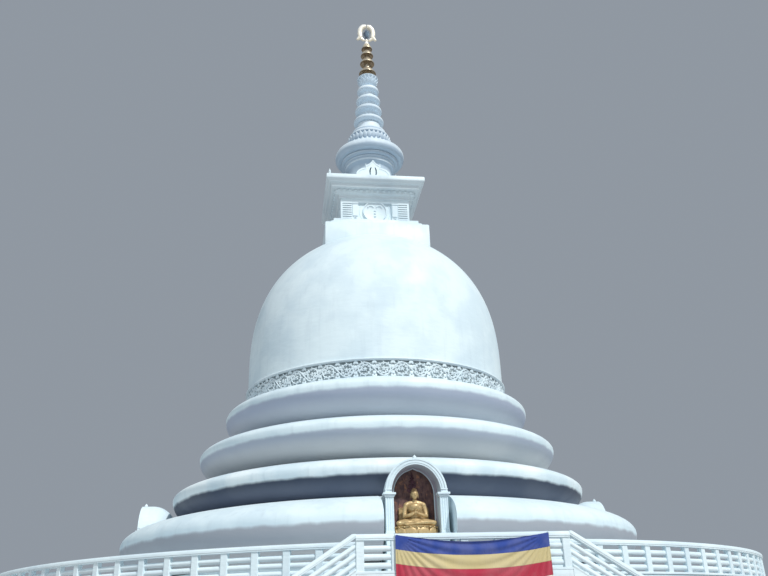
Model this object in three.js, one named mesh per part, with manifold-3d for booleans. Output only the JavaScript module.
// Stupa: a round railed terrace with a double stair, four swelling base rings with a niche on
// each side, a plain dome, a square chamber with a cornice, and a ringed spire with a gilded top.
// Millimetres, +Z up. The origin is on the axis at ground level and the front looks along -Y.
import * as THREE from 'three';
import { mergeVertices } from 'three/addons/utils/BufferGeometryUtils.js';
import Module from 'manifold-3d';

const wasm = await Module();
wasm.setup();

// Clearance between pieces that touch
const GAP = 0.3;

// Terrace
const TERRACE_FLOOR = 2820;
const TERRACE_WALL_R = 15600;
const TERRACE_EDGE_R = 15700;
const TERRACE_EDGE_HIGH = 220;
const TERRACE_EDGE_BEVEL = 80;
const TERRACE_SIDES = 56;

// Railings: a low beam, posts, three rails and a coping; heights are above the floor
const RAIL_HIGH = 920;
const RAIL_LINE_R = 15640;
const COPING_WIDE = 240;
const COPING_HIGH = 150;
const COPING_FOOT = RAIL_HIGH - COPING_HIGH;
const BEAM_WIDE = 200;
const BEAM_HIGH = 60;
const POST_WIDE = 200;
const POST_DEEP = 160;
const BAR_FOOT = 110;
const BAR_PITCH = 200;
const BAR_HIGH = 145;
const BAR_DEEP = 90;
const BARS = 3;
const BAYS_ROUND = 112;
const GATE_BAYS = 6;
const RING_PANELS = 8;
const EMBED = 20;

// Landing and stair
const LANDING_HALF = 2700;
const LANDING_FRONT = 17300;
const LANDING_RAIL_LINE = 17200;
const LANDING_POST_X = 2600;
const LANDING_BAYS = 6;
const RISERS = 16;
const TREAD = 277;
const STAIR_BACK = 14000;
const FLIGHT_BAYS = 6;
const FLIGHT_RAIL_LIFT = 60;
const KERB_DEEP = 320;

// Plinth and the four base rings: outer radius, its height, the top, and how far they draw in
const PLINTH_R = 10200;
const PLINTH_TOP = 3600;
const BASE_RINGS = [
  { root: 3600, belly: 4970, top: 5900, radius: 11270, inTop: 2600, inRoot: 1600 },
  { root: 5600, belly: 6960, top: 7500, radius: 9270, inTop: 2000, inRoot: 3000 },
  { root: 7450, belly: 8810, top: 9360, radius: 8230, inTop: 2000, inRoot: 3000 },
  { root: 9300, belly: 10670, top: 11150, radius: 7150, inTop: 1200, inRoot: 2600 },
];
const CURVE_STEPS = 3;
const ROUND_SIDES = 48;

// Relief band and dome
const BAND_R = 6240;
const BAND_TOP = 12020;
const DOME_R = 6190;
const DOME_SPRING = 12890;
const DOME_RISE = 7430;
const DOME_SHAPE = 2.65;
const DOME_FULLNESS = 1.87;
const DOME_SIDES = 48;

// Square base, chamber and cornice (half widths)
const SQUARE_BASE_HALF = 2640;
const SQUARE_BASE_FOOT = 18950;
const SQUARE_BASE_TOP = 20370;
const STEP_HALF = 2330;
const STEP_DRAWN_IN = 150;
const STEP_SHOULDER = 180;
const STEP_SLOPE = 60;
const STEP_TOP = 20800;
const CHAMBER_HALF = 1790;
const CHAMBER_TOP = 22180;
const PANEL_NEAR = 1230;
const PANEL_FAR = 1690;
const PANEL_INSET = 70;
const PANEL_MARGIN = 90;
const BAY_HALF = 870;
const BAY_INSET = 140;
const BAY_MARGIN = 50;
const MEDALLION_R = 570;
const MEDALLION_THICK = 100;
const CORNICE_HALF = 2560;
const CORNICE_TOP = 23270;
const SPIKE_CORNER = 2390;
const SPIKE_R = 70;
const SPIKE_HIGH = 340;

// Arched crest in front of the neck on each side
const CREST_HALF = 900;
const CREST_FRONT = 1460;
const CREST_BACK = 901;
const CREST_SHOULDER = 740;
const CREST_LOBE_HALF = 380;
const CREST_LOBE = 1230;
const CREST_TIP = 1570;
const CREST_HEEL = 160;
const CREST_BOW = 0.85;

// Neck, disc and spire
const NECK_R = 1200;
const NECK_MOULDING = 120;
const NECK_TOP = 25100;
const DISC_R = 1920;
const DISC_BELLY = 25770;
const DISC_TOP = 26100;
const LOTUS_R = 1300;
const LOTUS_TIERS_TOP = 26950;
const LOTUS_TOP = 27250;
const SPIRE_SIDES = 20;
const SPIRE_RINGS = [
  { radius: 865, belly: 28200 },
  { radius: 775, belly: 28970 },
  { radius: 700, belly: 29680 },
  { radius: 635, belly: 30390 },
];
const SHAFT_FLARE = 0.14;
const RING_TOP_RISE = 180;
const COLLAR_R = 650;
const COLLAR_FOOT_R = 330;
const COLLAR_TOP = 31370;
// Umbrella-like discs: radius and height of the rim, and the rise of the cone over it
const GILT_DISCS = [
  { radius: 505, rim: 31720 },
  { radius: 430, rim: 32460 },
  { radius: 375, rim: 33050 },
  { radius: 325, rim: 33560 },
];
const GILT_CONE_RISE = 360;
const GILT_RIM_HIGH = 40;
// Crown: two arms like a horseshoe, open at the top, with feet that flare out
const CROWN_TOP = 35500;
const CROWN_HALF = 550;
const CROWN_ROOM_HALF = 280;
const CROWN_ROOM_TOP = 35170;
const CROWN_WAIST = 34830;
const CROWN_WAIST_FOOT = 34500;
const CROWN_FOOT_HALF = 625;
const CROWN_FOOT = 34240;
const CROWN_SLIT_HALF = 25;
const CROWN_CURL_HALF = 150;
const CROWN_DEEP = 260;
const STEM_R = 170;
const JEWEL_R = 220;
const JEWEL_FOOT = 34370;
const JEWEL_TIP = 35120;

// Niches, one on each side of the base
const NICHE_FRONT = 10600;
const NICHE_BACK = 9200;
const NICHE_OUTER_HALF = 1060;
const NICHE_INNER_HALF = 790;
const NICHE_SPRING = 5780;
const NICHE_OUTER_RISE = 1150;
const NICHE_INNER_RISE = 940;
const NICHE_SILL = 4400;
const NICHE_DEEP = 880;
const NICHE_HOOD_SHARE = 0.68;
const CAPITAL_HALF = 1140;
const CAPITAL_HIGH = 150;
const CAPITAL_PROUD = 80;
const CAPITAL_DEEP = 300;
const KNOB_R = 110;
const SLOT_HALF = 1200;
const SLOT_SPARE = 100;
const SIDES = ['front', 'right', 'back', 'left'];

// Seated figures
const SEAT_HALF = 745;
const SEAT_DEEP_HALF = 390;
const SEAT_HIGH = 320;
const FIGURE_LINE = 10150;
const SEAT_WAIST = 0.86;
// Measured from the middle of the seat's top: to the right, to the front, up
const FIGURE_LEGS = { centre: [0, 10, 90], radii: [700, 370, 130] };
const FIGURE_HEAD = { centre: [0, -40, 985], radii: [135, 145, 175] };
const FIGURE_HAIR_KNOT = { centre: [0, -50, 1160], radii: [65, 65, 60] };
const FIGURE_NECK = { from: [0, -50, 760], to: [0, -50, 900], thick: 75 };
const FIGURE_UPPER_ARM = { from: [350, -50, 660], to: [400, 20, 330], thick: 85 };
const FIGURE_FOREARM = { from: [400, 10, 330], to: [50, 230, 480], thick: 70 };
const FIGURE_TORSO = [[0, 60], [290, 60], [250, 300], [380, 660], [250, 780], [0, 800]];
const FIGURE_TORSO_FLAT = 0.62;
const FIGURE_TORSO_BACK = 60;

// Flag
const FLAG_LEFT = -1750;
const FLAG_RIGHT = 2150;
const FLAG_HIGH = 2000;
const FLAG_TOP = 3700;
const FLAG_THICK = 60;

// Colours
const WHITE = 0xe6eef0;
const GOLD = 0xd9a93c;
const JEWEL = 0xb8ccd8;
const PANEL_WHITE = 0xdfe6e8;
const CLOTH = 0x3a55a0;

const whitewash = (color = WHITE) => ({ color, roughness: 0.6, metalness: 0 });
const gilding = { color: GOLD, roughness: 0.3, metalness: 0.9 };

const root = new THREE.Group();

function named(name, geometry, finish, turn = 0) {
  const mesh = new THREE.Mesh(geometry, new THREE.MeshStandardMaterial(finish));
  mesh.name = name;
  mesh.rotation.z = turn;
  root.add(mesh);
  return mesh;
}

// Merge shared corners and drop the triangles that a pole or a seam leaves without area
function closed(geometry) {
  const bare = geometry.clone();
  bare.deleteAttribute('normal');
  bare.deleteAttribute('uv');
  const merged = mergeVertices(bare, 0.01);
  const kept = [];
  const corners = merged.index.array;
  for (let i = 0; i < corners.length; i += 3) {
    const [a, b, c] = [corners[i], corners[i + 1], corners[i + 2]];
    if (a !== b && b !== c && a !== c) kept.push(a, b, c);
  }
  merged.setIndex(kept);
  return merged;
}

function solid(geometry) {
  const merged = closed(geometry);
  return new wasm.Manifold(new wasm.Mesh({
    numProp: 3,
    vertProperties: new Float32Array(merged.attributes.position.array),
    triVerts: new Uint32Array(merged.index.array),
  }));
}

function surface(body) {
  const mesh = body.getMesh();
  const geometry = new THREE.BufferGeometry();
  geometry.setAttribute('position', new THREE.BufferAttribute(mesh.vertProperties, 3));
  geometry.setIndex(new THREE.BufferAttribute(mesh.triVerts, 1));
  geometry.computeVertexNormals();
  return geometry;
}

const join = (bodies) => bodies.reduce((sum, body) => sum.add(body));

// A round body from [radius, height] points that run from the axis at the bottom to the top
function turned(profile, sides) {
  const points = profile.map(([radius, height]) => new THREE.Vector2(radius, height));
  const geometry = new THREE.LatheGeometry(points, sides);
  geometry.rotateX(Math.PI / 2);
  return closed(geometry);
}

// A square stack of mouldings from [half width, height] points
function squared(profile) {
  const geometry = turned(profile.map(([half, height]) => [half * Math.SQRT2, height]), 4);
  geometry.rotateZ(Math.PI / 4);
  return geometry;
}

function block(low, high) {
  const size = high.map((value, axis) => value - low[axis]);
  const middle = high.map((value, axis) => (value + low[axis]) / 2);
  return new THREE.BoxGeometry(...size).translate(...middle);
}

// An outline drawn in the front plane (x, z) and carried from y = near to y = far
function frontal(shape, near, far, curveSegments = 8) {
  const geometry = new THREE.ExtrudeGeometry(shape, {
    depth: far - near, bevelEnabled: false, curveSegments,
  });
  geometry.rotateX(Math.PI / 2);
  geometry.translate(0, far, 0);
  return geometry;
}

const outline = (points) => new THREE.Shape(points.map(([x, z]) => new THREE.Vector2(x, z)));

// Terrace: a solid drum with a projecting edge slab; grow leaves room for its neighbours
function terraceProfile(grow = 0) {
  const edgeFoot = TERRACE_FLOOR - TERRACE_EDGE_HIGH;
  return [
    [0, -grow],
    [TERRACE_WALL_R + grow, -grow],
    [TERRACE_WALL_R + grow, edgeFoot - grow],
    [TERRACE_EDGE_R + grow, edgeFoot + TERRACE_EDGE_BEVEL - grow],
    [TERRACE_EDGE_R + grow, TERRACE_FLOOR + grow],
    [0, TERRACE_FLOOR + grow],
  ];
}

function terrace() {
  named('terrace', turned(terraceProfile(), TERRACE_SIDES), whitewash());
}

function awayFromTerrace(geometry) {
  return solid(geometry).subtract(solid(turned(terraceProfile(GAP), TERRACE_SIDES)));
}

// Landing block and the two flights that run down to the sides along the terrace wall
function landing() {
  const mass = block([-LANDING_HALF, -LANDING_FRONT, 0], [LANDING_HALF, -STAIR_BACK, TERRACE_FLOOR]);
  named('landing', surface(awayFromTerrace(mass)), whitewash());
}

function flightOutline(side) {
  const riser = TERRACE_FLOOR / RISERS;
  const start = LANDING_HALF + GAP;
  const points = [[side * start, 0]];
  for (let step = RISERS - 1; step >= 1; step -= 1) {
    const near = start + (RISERS - 1 - step) * TREAD;
    points.push([side * near, step * riser], [side * (near + TREAD), step * riser]);
  }
  points.push([side * (start + (RISERS - 1) * TREAD), 0]);
  return outline(side > 0 ? points.reverse() : points);
}

function flights() {
  for (const [name, side] of [['left_flight', -1], ['right_flight', 1]]) {
    const mass = frontal(flightOutline(side), -LANDING_FRONT, -STAIR_BACK);
    named(name, surface(awayFromTerrace(mass)), whitewash());
  }
}

const barFoot = (bar) => BAR_FOOT + bar * BAR_PITCH;

function postPlaces(count, from, to) {
  return Array.from({ length: count + 1 }, (_, i) => from + (to - from) * i / count);
}

// A curved strip of the ring railing between two angles, with a corner at each post
function ringStrip(angles, wide, foot, high) {
  const place = (radius, angle) => [radius * Math.sin(angle), -radius * Math.cos(angle)];
  const outer = angles.map((angle) => place(RAIL_LINE_R + wide / 2, angle));
  const inner = angles.map((angle) => place(RAIL_LINE_R - wide / 2, angle));
  const geometry = new THREE.ExtrudeGeometry(outline([...outer, ...inner.reverse()]), {
    depth: high, bevelEnabled: false,
  });
  return solid(geometry.translate(0, 0, TERRACE_FLOOR + foot));
}

function ringPost(angle) {
  const post = block(
    [-POST_WIDE / 2, -RAIL_LINE_R - POST_DEEP / 2, TERRACE_FLOOR + BEAM_HIGH - EMBED],
    [POST_WIDE / 2, -RAIL_LINE_R + POST_DEEP / 2, TERRACE_FLOOR + COPING_FOOT + EMBED],
  );
  return solid(post.rotateZ(angle));
}

function ringRailing() {
  const bay = 2 * Math.PI / BAYS_ROUND;
  const bays = BAYS_ROUND - GATE_BAYS;
  const half = POST_WIDE / 2 / (RAIL_LINE_R - COPING_WIDE / 2);
  const gap = GAP / (RAIL_LINE_R - COPING_WIDE / 2);
  for (let panel = 0; panel < RING_PANELS; panel += 1) {
    const firstBay = GATE_BAYS / 2 + Math.round(bays * panel / RING_PANELS);
    const lastBay = GATE_BAYS / 2 + Math.round(bays * (panel + 1) / RING_PANELS);
    const posts = postPlaces(lastBay - firstBay, firstBay * bay, lastBay * bay);
    if (panel > 0) posts.shift();
    const begin = panel > 0 ? firstBay * bay + half + gap : posts[0] - half;
    const end = lastBay * bay + half;
    const strip = [begin, ...posts.filter((angle) => angle > begin && angle < end), end];
    const pieces = [
      ringStrip(strip, BEAM_WIDE, GAP, BEAM_HIGH - GAP),
      ringStrip(strip, COPING_WIDE, COPING_FOOT, COPING_HIGH),
      ...posts.map(ringPost),
    ];
    const bars = [begin, ...strip.slice(1, -1), posts[posts.length - 1]];
    for (let bar = 0; bar < BARS; bar += 1) {
      pieces.push(ringStrip(bars, BAR_DEEP, barFoot(bar), BAR_HIGH));
    }
    named(`terrace_railing_${panel + 1}`, surface(join(pieces)), whitewash());
  }
}

// A straight railing along x at the landing's front line; drop is the fall per unit of length,
// kerb how far its lowest beam reaches down to stand on the treads
function straightRailing(posts, from, to, drop, floorAt, kerb = 0) {
  const strip = (wide, foot, high) => {
    const low = (x) => floorAt + foot - Math.abs(x - from) * drop;
    const points = [[from, low(from)], [to, low(to)], [to, low(to) + high], [from, low(from) + high]];
    const shape = outline(to > from ? points : points.reverse());
    return solid(frontal(shape, -LANDING_RAIL_LINE - wide / 2, -LANDING_RAIL_LINE + wide / 2));
  };
  const pieces = [
    strip(BEAM_WIDE, GAP - kerb, BEAM_HIGH - GAP + kerb),
    strip(COPING_WIDE, COPING_FOOT, COPING_HIGH),
  ];
  for (const x of posts) {
    const base = floorAt - Math.abs(x - from) * drop;
    const slant = drop * POST_WIDE / 2;
    pieces.push(solid(block(
      [x - POST_WIDE / 2, -LANDING_RAIL_LINE - POST_DEEP / 2, base + BEAM_HIGH - EMBED - slant],
      [x + POST_WIDE / 2, -LANDING_RAIL_LINE + POST_DEEP / 2, base + COPING_FOOT + EMBED + slant],
    )));
  }
  for (let bar = 0; bar < BARS; bar += 1) pieces.push(strip(BAR_DEEP, barFoot(bar), BAR_HIGH));
  return surface(join(pieces));
}

function stairRailings() {
  const end = LANDING_POST_X + POST_WIDE / 2;
  const places = postPlaces(LANDING_BAYS, -LANDING_POST_X, LANDING_POST_X);
  named('landing_railing', straightRailing(places, -end, end, 0, TERRACE_FLOOR), whitewash());
  const drop = TERRACE_FLOOR / RISERS / TREAD;
  const foot = end + GAP + RISERS * TREAD;
  const reach = TERRACE_EDGE_R + LANDING_FRONT;
  const ground = solid(block([-reach, -reach, -TERRACE_FLOOR], [reach, reach, 0]));
  const landingTop = solid(block(
    [-end - GAP, -LANDING_FRONT, 0],
    [end + GAP, -STAIR_BACK, TERRACE_FLOOR + GAP],
  ));
  for (const [name, side] of [['left_stair_railing', -1], ['right_stair_railing', 1]]) {
    const posts = postPlaces(FLIGHT_BAYS, end, foot - POST_WIDE / 2).slice(1).map((x) => side * x);
    const lifted = TERRACE_FLOOR + FLIGHT_RAIL_LIFT;
    const rail = solid(straightRailing(posts, side * (end + GAP), side * foot, drop, lifted, KERB_DEEP));
    const clear = rail.subtract(ground).subtract(grownSteps(side)).subtract(landingTop);
    named(name, surface(clear), whitewash());
  }
}

// The steps raised by the clearance, to cut what stands on them
function grownSteps(side) {
  const geometry = frontal(flightOutline(side), -LANDING_FRONT - GAP, -STAIR_BACK);
  const raised = solid(geometry.clone().translate(0, 0, GAP));
  return raised.add(solid(geometry.translate(side * GAP, 0, 0)));
}

// Swelling ring: a quarter ellipse out from its root and another in to its top
function ringProfile({ root: foot, belly, top, radius, inTop, inRoot }, floor, grow = 0) {
  const points = [[0, floor - grow]];
  const low = Math.asin(Math.min(1, Math.max(0, (belly - floor) / (belly - foot))));
  for (let i = 0; i <= CURVE_STEPS; i += 1) {
    const angle = low * (1 - i / CURVE_STEPS);
    const height = belly - (belly - foot) * Math.sin(angle);
    points.push([radius - inRoot + inRoot * Math.cos(angle) + grow, height - (i === 0 ? grow : 0)]);
  }
  for (let i = 1; i <= CURVE_STEPS; i += 1) {
    const angle = Math.PI / 2 * i / CURVE_STEPS;
    const height = belly + (top - belly) * Math.sin(angle);
    const lift = i === CURVE_STEPS ? grow : 0;
    points.push([radius - inTop + inTop * Math.cos(angle) + grow, height + lift]);
  }
  points.push([0, top + grow]);
  return points;
}

const ringFloor = (index) => (index === 0 ? PLINTH_TOP : BASE_RINGS[index - 1].top) + GAP;

// The upright slots in the plinth and the first ring that take the four niches
function slots() {
  return join(SIDES.map((_, quarter) => {
    const slot = block(
      [-SLOT_HALF, -2 * NICHE_FRONT, TERRACE_FLOOR - SLOT_SPARE],
      [SLOT_HALF, -NICHE_BACK, BASE_RINGS[0].top + SLOT_SPARE],
    );
    return solid(slot.rotateZ(quarter * Math.PI / 2));
  }));
}

function base() {
  const drum = solid(turned([
    [0, TERRACE_FLOOR + GAP], [PLINTH_R, TERRACE_FLOOR + GAP], [PLINTH_R, PLINTH_TOP], [0, PLINTH_TOP],
  ], ROUND_SIDES));
  named('plinth', surface(drum.subtract(slots())), whitewash());
  BASE_RINGS.forEach((ring, index) => {
    const geometry = turned(ringProfile(ring, ringFloor(index)), ROUND_SIDES);
    const shape = index === 0 ? surface(solid(geometry).subtract(slots())) : geometry;
    named(`base_ring_${index + 1}`, shape, whitewash());
  });
}

// An upright outline with an elliptical arched head
function archOutline(half, foot, spring, rise) {
  const shape = new THREE.Shape();
  shape.moveTo(-half, foot);
  shape.lineTo(half, foot);
  shape.lineTo(half, spring);
  shape.absellipse(0, spring, half, rise, 0, Math.PI, false);
  shape.lineTo(-half, foot);
  return shape;
}

// Pilasters and arch in front, a half-dome hood behind them, and a hollow for the figure
function nicheBody() {
  const hoodLine = NICHE_BACK + (NICHE_FRONT - NICHE_BACK) * NICHE_HOOD_SHARE;
  const foot = TERRACE_FLOOR + GAP;
  const arch = archOutline(NICHE_OUTER_HALF, foot, NICHE_SPRING, NICHE_OUTER_RISE);
  const front = frontal(arch, -NICHE_FRONT, -hoodLine);
  const rear = block(
    [-NICHE_OUTER_HALF, -hoodLine - EMBED, foot],
    [NICHE_OUTER_HALF, -NICHE_BACK - GAP, NICHE_SPRING],
  );
  const hoodRadii = [NICHE_OUTER_HALF - 1, NICHE_OUTER_HALF, NICHE_OUTER_RISE - 2];
  const hood = ball([0, -hoodLine, NICHE_SPRING], hoodRadii, 12, 8);
  const capitals = [-1, 1].map((side) => {
    const near = side * (NICHE_INNER_HALF - CAPITAL_PROUD);
    const far = side * CAPITAL_HALF;
    return solid(block(
      [Math.min(near, far), -NICHE_FRONT - CAPITAL_PROUD, NICHE_SPRING - CAPITAL_HIGH],
      [Math.max(near, far), -NICHE_FRONT + CAPITAL_DEEP, NICHE_SPRING],
    ));
  });
  const crownPoint = [0, -NICHE_FRONT + KNOB_R, NICHE_SPRING + NICHE_OUTER_RISE + KNOB_R / 2];
  const knob = ball(crownPoint, [KNOB_R, KNOB_R, KNOB_R], 6, 4);
  const wide = 2 * NICHE_OUTER_HALF;
  const behind = block([-wide, -hoodLine - EMBED, 0], [wide, 0, NICHE_SPRING + wide]);
  const halfDome = solid(hood).intersect(solid(behind));
  const mass = join([solid(front), solid(rear), halfDome, solid(knob), ...capitals]);
  const hollow = frontal(
    archOutline(NICHE_INNER_HALF, NICHE_SILL, NICHE_SPRING, NICHE_INNER_RISE),
    -NICHE_FRONT - NICHE_DEEP, -NICHE_FRONT + NICHE_DEEP,
  );
  const firstRing = block([-wide, -NICHE_BACK - GAP, 0], [wide, 0, BASE_RINGS[0].top + GAP]);
  const secondRing = solid(turned(ringProfile(BASE_RINGS[1], ringFloor(1), GAP), ROUND_SIDES));
  return mass.subtract(solid(hollow)).subtract(solid(firstRing)).subtract(secondRing);
}

function niches() {
  const shape = surface(nicheBody());
  SIDES.forEach((side, quarter) => {
    named(`${side}_niche`, shape.clone(), whitewash(PANEL_WHITE), quarter * Math.PI / 2);
  });
}

function limb(from, to, thick) {
  const start = new THREE.Vector3(...from);
  const end = new THREE.Vector3(...to);
  const length = start.distanceTo(end);
  const geometry = new THREE.CylinderGeometry(thick, thick, length, 5);
  const turn = new THREE.Quaternion().setFromUnitVectors(
    new THREE.Vector3(0, 1, 0), end.clone().sub(start).normalize(),
  );
  return geometry.applyQuaternion(turn).translate(...start.add(end).multiplyScalar(0.5).toArray());
}

function ball(centre, radii, around = 8, down = 5) {
  return new THREE.SphereGeometry(1, around, down).rotateX(Math.PI / 2).scale(...radii).translate(...centre);
}

// Seated figure on a lotus seat, hands joined before the chest
function figureBody() {
  const foot = NICHE_SILL + GAP;
  const seatTop = foot + SEAT_HIGH;
  const at = ([x, forward, up], side = 1) => [side * x, -FIGURE_LINE - forward, seatTop + up];
  const mass = ({ centre, radii }, ...steps) => ball(at(centre), radii, ...steps);
  const bone = ({ from, to, thick }, side) => limb(at(from, side), at(to, side), thick);
  const seat = turned([
    [0, foot], [1, foot], [SEAT_WAIST, (foot + seatTop) / 2], [1, seatTop], [0, seatTop],
  ], 12).scale(SEAT_HALF, SEAT_DEEP_HALF, 1).translate(0, -FIGURE_LINE, 0);
  const torso = turned(FIGURE_TORSO.map(([radius, up]) => [radius, seatTop + up]), 8)
    .scale(1, FIGURE_TORSO_FLAT, 1).translate(0, FIGURE_TORSO_BACK - FIGURE_LINE, 0);
  const pieces = [
    seat, mass(FIGURE_LEGS), torso, bone(FIGURE_NECK), mass(FIGURE_HEAD), mass(FIGURE_HAIR_KNOT, 6, 4),
  ];
  for (const side of [-1, 1]) pieces.push(bone(FIGURE_UPPER_ARM, side), bone(FIGURE_FOREARM, side));
  return join(pieces.map(solid));
}

function figures() {
  const shape = surface(figureBody());
  SIDES.forEach((side, quarter) => {
    named(`${side}_figure`, shape.clone(), gilding, quarter * Math.PI / 2);
  });
}

// Relief band and dome, with a square pocket where the base block is bedded
function domeRadius(height) {
  const share = Math.min(1, Math.max(0, (height - DOME_SPRING) / DOME_RISE));
  return DOME_R * (1 - share ** DOME_SHAPE) ** (1 / DOME_FULLNESS);
}

function bandAndDome() {
  const foot = BASE_RINGS[3].top + GAP;
  named('relief_band', turned([
    [0, foot], [BAND_R, foot], [BAND_R, BAND_TOP - 120], [BAND_R + 60, BAND_TOP - 60],
    [BAND_R + 60, BAND_TOP], [0, BAND_TOP],
  ], DOME_SIDES), whitewash(PANEL_WHITE));
  const profile = [[0, BAND_TOP + GAP], [DOME_R, BAND_TOP + GAP]];
  for (const share of [0, 0.25, 0.42, 0.56, 0.68, 0.78, 0.86, 0.93, 0.98]) {
    const height = DOME_SPRING + DOME_RISE * share;
    profile.push([domeRadius(height), height]);
  }
  profile.push([0, DOME_SPRING + DOME_RISE]);
  const pocketHalf = SQUARE_BASE_HALF + GAP;
  const pocket = block(
    [-pocketHalf, -pocketHalf, SQUARE_BASE_FOOT - GAP],
    [pocketHalf, pocketHalf, SQUARE_BASE_TOP + 1000],
  );
  named('dome', surface(solid(turned(profile, DOME_SIDES)).subtract(solid(pocket))), whitewash());
}

// Square base, its step, the chamber with sunk panels and a medallion on each face
function squareTower() {
  named('square_base', squared([
    [0, SQUARE_BASE_FOOT], [SQUARE_BASE_HALF, SQUARE_BASE_FOOT], [SQUARE_BASE_HALF, SQUARE_BASE_TOP - 60],
    [SQUARE_BASE_HALF - 60, SQUARE_BASE_TOP], [0, SQUARE_BASE_TOP],
  ]), whitewash());
  const stepFoot = SQUARE_BASE_TOP + GAP;
  named('base_step', squared([
    [0, stepFoot], [STEP_HALF, stepFoot], [STEP_HALF, STEP_TOP - STEP_SHOULDER],
    [STEP_HALF - STEP_DRAWN_IN, STEP_TOP - STEP_SHOULDER + STEP_SLOPE],
    [STEP_HALF - STEP_DRAWN_IN, STEP_TOP], [0, STEP_TOP],
  ]), whitewash());
  named('chamber', surface(chamberBody()), whitewash());
}

function chamberBody() {
  const foot = STEP_TOP + GAP;
  let mass = solid(block([-CHAMBER_HALF, -CHAMBER_HALF, foot], [CHAMBER_HALF, CHAMBER_HALF, CHAMBER_TOP]));
  for (let quarter = 0; quarter < 4; quarter += 1) {
    const turn = quarter * Math.PI / 2;
    const face = -CHAMBER_HALF;
    for (const [near, far] of [[-PANEL_FAR, -PANEL_NEAR], [PANEL_NEAR, PANEL_FAR]]) {
      const panel = block(
        [near, face - PANEL_INSET, foot + PANEL_MARGIN],
        [far, face + PANEL_INSET, CHAMBER_TOP - PANEL_MARGIN],
      );
      mass = mass.subtract(solid(panel.rotateZ(turn)));
    }
    const bay = block(
      [-BAY_HALF, face - BAY_INSET, foot + BAY_MARGIN],
      [BAY_HALF, face + BAY_INSET, CHAMBER_TOP - BAY_MARGIN],
    );
    mass = mass.subtract(solid(bay.rotateZ(turn)));
    const disc = new THREE.CylinderGeometry(MEDALLION_R, MEDALLION_R, 2 * MEDALLION_THICK, 16);
    disc.translate(0, face + BAY_INSET, (foot + CHAMBER_TOP) / 2);
    mass = mass.add(solid(disc.rotateZ(turn)));
  }
  return mass;
}

function cornice() {
  const foot = CHAMBER_TOP + GAP;
  named('cornice', squared([
    [0, foot], [CHAMBER_HALF + 80, foot], [CHAMBER_HALF + 80, foot + 160], [CHAMBER_HALF + 280, foot + 220],
    [CHAMBER_HALF + 280, foot + 380], [CHAMBER_HALF + 500, foot + 450], [CHAMBER_HALF + 500, foot + 600],
    [CORNICE_HALF - 40, foot + 690], [CORNICE_HALF, foot + 760], [CORNICE_HALF, CORNICE_TOP - 120],
    [CORNICE_HALF - 100, CORNICE_TOP], [0, CORNICE_TOP],
  ]), whitewash());
}

// Leaf-shaped crest standing on the cornice against the neck on each side
function crests() {
  const foot = CORNICE_TOP + GAP;
  const lobeCorner = [CREST_LOBE_HALF, foot + CREST_LOBE];
  const lobeHeel = [CREST_LOBE_HALF, foot + CREST_LOBE - CREST_HEEL];
  const bowAt = foot + CREST_LOBE - CREST_HEEL - 40;
  const tipBow = [CREST_LOBE_HALF / 2, foot + CREST_LOBE + 40];
  const shape = new THREE.Shape();
  shape.moveTo(-CREST_HALF, foot);
  shape.lineTo(CREST_HALF, foot);
  shape.lineTo(CREST_HALF, foot + CREST_SHOULDER);
  shape.quadraticCurveTo(CREST_HALF * CREST_BOW, bowAt, ...lobeHeel);
  shape.lineTo(...lobeCorner);
  shape.quadraticCurveTo(...tipBow, 0, foot + CREST_TIP);
  shape.quadraticCurveTo(-tipBow[0], tipBow[1], -lobeCorner[0], lobeCorner[1]);
  shape.lineTo(-lobeHeel[0], lobeHeel[1]);
  shape.quadraticCurveTo(-CREST_HALF * CREST_BOW, bowAt, -CREST_HALF, foot + CREST_SHOULDER);
  shape.lineTo(-CREST_HALF, foot);
  const neckRoom = solid(turned(neckProfile(GAP), SPIRE_SIDES));
  const leaf = surface(solid(frontal(shape, -CREST_FRONT, -CREST_BACK, 4)).subtract(neckRoom));
  SIDES.forEach((side, quarter) => {
    named(`${side}_crest`, leaf.clone(), whitewash(), quarter * Math.PI / 2);
  });
  const spike = turned([
    [0, foot], [SPIKE_R, foot], [SPIKE_R, foot + 90], [30, foot + 160], [0, foot + SPIKE_HIGH],
  ], 8);
  named('corner_spike', spike.translate(-SPIKE_CORNER, -SPIKE_CORNER, 0), whitewash());
}

// Neck drum and the wide disc that carries the spire; grow leaves room for its neighbours
function neckProfile(grow = 0) {
  const foot = CORNICE_TOP + GAP;
  const wide = NECK_R + NECK_MOULDING + grow;
  return [
    [0, foot - grow], [wide, foot - grow], [wide, foot + 200], [NECK_R + grow, foot + 260],
    [NECK_R + grow, NECK_TOP - 200], [wide + 40, NECK_TOP - 120], [wide + 40, NECK_TOP + grow],
    [0, NECK_TOP + grow],
  ];
}

function neckAndDisc() {
  named('neck', turned(neckProfile(), SPIRE_SIDES), whitewash());
  const discFoot = NECK_TOP + GAP;
  named('spire_disc', turned([
    [0, discFoot], [NECK_R + 220, discFoot], [NECK_R + 400, DISC_BELLY - 470], [DISC_R - 170, DISC_BELLY - 310],
    [DISC_R - 20, DISC_BELLY - 130], [DISC_R, DISC_BELLY], [DISC_R - 50, DISC_BELLY + 180],
    [DISC_R - 220, DISC_TOP], [0, DISC_TOP],
  ], 32), whitewash());
}

function lotusBase() {
  const foot = DISC_TOP + GAP;
  named('lotus_base', turned([
    [0, foot], [LOTUS_R - 60, foot], [LOTUS_R, foot + 120], [LOTUS_R, LOTUS_TIERS_TOP - 60],
    [LOTUS_R - 120, LOTUS_TIERS_TOP], [LOTUS_R - 50, LOTUS_TIERS_TOP + 100], [LOTUS_R - 50, LOTUS_TOP - 100],
    [LOTUS_R - 160, LOTUS_TOP], [0, LOTUS_TOP],
  ], SPIRE_SIDES), whitewash());
}

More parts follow.
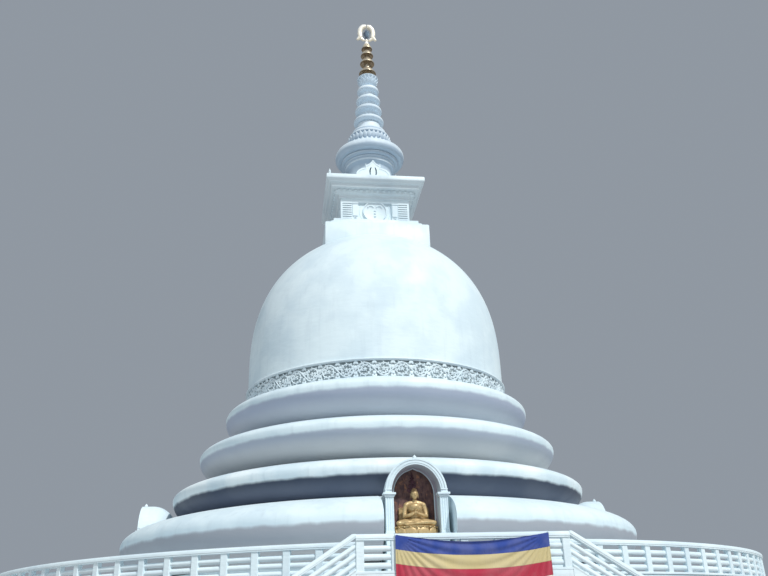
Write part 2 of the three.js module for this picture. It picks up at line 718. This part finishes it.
// The spire: four white rings, each with the round shaft below it; the lowest shaft flares
function spireRings() {
  SPIRE_RINGS.forEach(({ radius, belly }, index) => {
    const foot = (index === 0 ? LOTUS_TOP : SPIRE_RINGS[index - 1].belly + RING_TOP_RISE) + GAP;
    const top = belly + RING_TOP_RISE;
    const shaft = index === 0
      ? [[radius * (1 + SHAFT_FLARE), foot], [radius * (1 - SHAFT_FLARE / 2), belly - 200]]
      : [[radius * 0.62, foot], [radius * 0.66, belly - 160]];
    named(`spire_ring_${index + 1}`, turned([
      [0, foot], ...shaft, [radius, belly - 60],
      [radius, belly + 60], [radius * 0.86, top], [0, top],
    ], SPIRE_SIDES), whitewash());
  });
}

function lotusCollar() {
  const foot = SPIRE_RINGS[SPIRE_RINGS.length - 1].belly + RING_TOP_RISE + GAP;
  named('lotus_collar', turned([
    [0, foot], [COLLAR_FOOT_R, foot], [COLLAR_FOOT_R + 20, foot + 200], [COLLAR_R - 60, COLLAR_TOP - 180],
    [COLLAR_R, COLLAR_TOP - 60], [COLLAR_R - 90, COLLAR_TOP], [0, COLLAR_TOP],
  ], SPIRE_SIDES), whitewash());
}

// Gilded discs on a tapering stem
function giltDiscs() {
  GILT_DISCS.forEach(({ radius, rim }, index) => {
    const foot = (index === 0 ? COLLAR_TOP : GILT_DISCS[index - 1].rim + GILT_CONE_RISE) + GAP;
    const top = rim + GILT_CONE_RISE;
    named(`gilded_disc_${index + 1}`, turned([
      [0, foot], [radius * 0.5, foot], [radius * 0.46, rim + 70], [radius - 30, rim],
      [radius, rim + GILT_RIM_HIGH], [radius * 0.55, top], [0, top],
    ], 20), gilding);
  });
}

// One arm of the crown on the given side, from the slit at the top round to its flared foot
function crownArm(side) {
  const heel = (CROWN_FOOT_HALF + CROWN_CURL_HALF) / 2;
  const curlTop = CROWN_WAIST_FOOT - 60;
  const shape = new THREE.Shape();
  shape.moveTo(CROWN_SLIT_HALF, CROWN_TOP);
  shape.bezierCurveTo(300, CROWN_TOP, CROWN_HALF, CROWN_WAIST + 340, CROWN_HALF, CROWN_WAIST);
  shape.quadraticCurveTo(CROWN_HALF, CROWN_WAIST_FOOT + 100, CROWN_HALF - 30, CROWN_WAIST_FOOT);
  shape.lineTo(CROWN_FOOT_HALF, CROWN_WAIST_FOOT - 130);
  shape.lineTo(CROWN_FOOT_HALF - 60, CROWN_FOOT + 20);
  shape.lineTo(heel, CROWN_FOOT + 50);
  shape.lineTo(CROWN_CURL_HALF + 80, CROWN_FOOT);
  shape.lineTo(CROWN_CURL_HALF, CROWN_FOOT + 60);
  shape.lineTo(CROWN_CURL_HALF + 60, curlTop);
  shape.lineTo(CROWN_ROOM_HALF, CROWN_WAIST_FOOT + 20);
  shape.quadraticCurveTo(CROWN_ROOM_HALF + 20, CROWN_WAIST, CROWN_ROOM_HALF * 0.6, CROWN_WAIST + 240);
  shape.lineTo(CROWN_SLIT_HALF, CROWN_ROOM_TOP);
  shape.lineTo(CROWN_SLIT_HALF, CROWN_TOP);
  const arm = frontal(shape, -CROWN_DEEP / 2, CROWN_DEEP / 2, 6);
  return solid(side > 0 ? arm : arm.rotateZ(Math.PI));
}

// Crown on a conical stem, its arms tied to the stem at the feet, with a pointed crystal inside
function crown() {
  const foot = GILT_DISCS[GILT_DISCS.length - 1].rim + GILT_CONE_RISE + GAP;
  const stem = solid(turned([
    [0, foot], [STEM_R, foot], [80, CROWN_FOOT - 60], [60, JEWEL_FOOT - GAP], [0, JEWEL_FOOT - GAP],
  ], 10));
  const tie = solid(block(
    [-CROWN_CURL_HALF - 40, -50, CROWN_FOOT + 50],
    [CROWN_CURL_HALF + 40, 50, CROWN_FOOT + 110],
  ));
  named('crown', surface(join([crownArm(1), crownArm(-1), stem, tie])), gilding);
  const jewel = turned([
    [0, JEWEL_FOOT], [60, JEWEL_FOOT], [JEWEL_R, JEWEL_FOOT + 400], [JEWEL_R - 70, JEWEL_FOOT + 580],
    [0, JEWEL_TIP],
  ], 10);
  named('crown_jewel', jewel, { color: JEWEL, roughness: 0.1, metalness: 0 });
}

// Striped flag hung on the outside of the landing railing
function flag() {
  const near = -LANDING_RAIL_LINE - COPING_WIDE / 2 - GAP - FLAG_THICK;
  const cloth = block([FLAG_LEFT, near, FLAG_TOP - FLAG_HIGH], [FLAG_RIGHT, near + FLAG_THICK, FLAG_TOP]);
  named('flag', cloth, { color: CLOTH, roughness: 0.9, metalness: 0 });
}

terrace();
landing();
flights();
ringRailing();
stairRailings();
base();
niches();
figures();
bandAndDome();
squareTower();
cornice();
crests();
neckAndDisc();
lotusBase();
spireRings();
lotusCollar();
giltDiscs();
crown();
flag();

export default root;
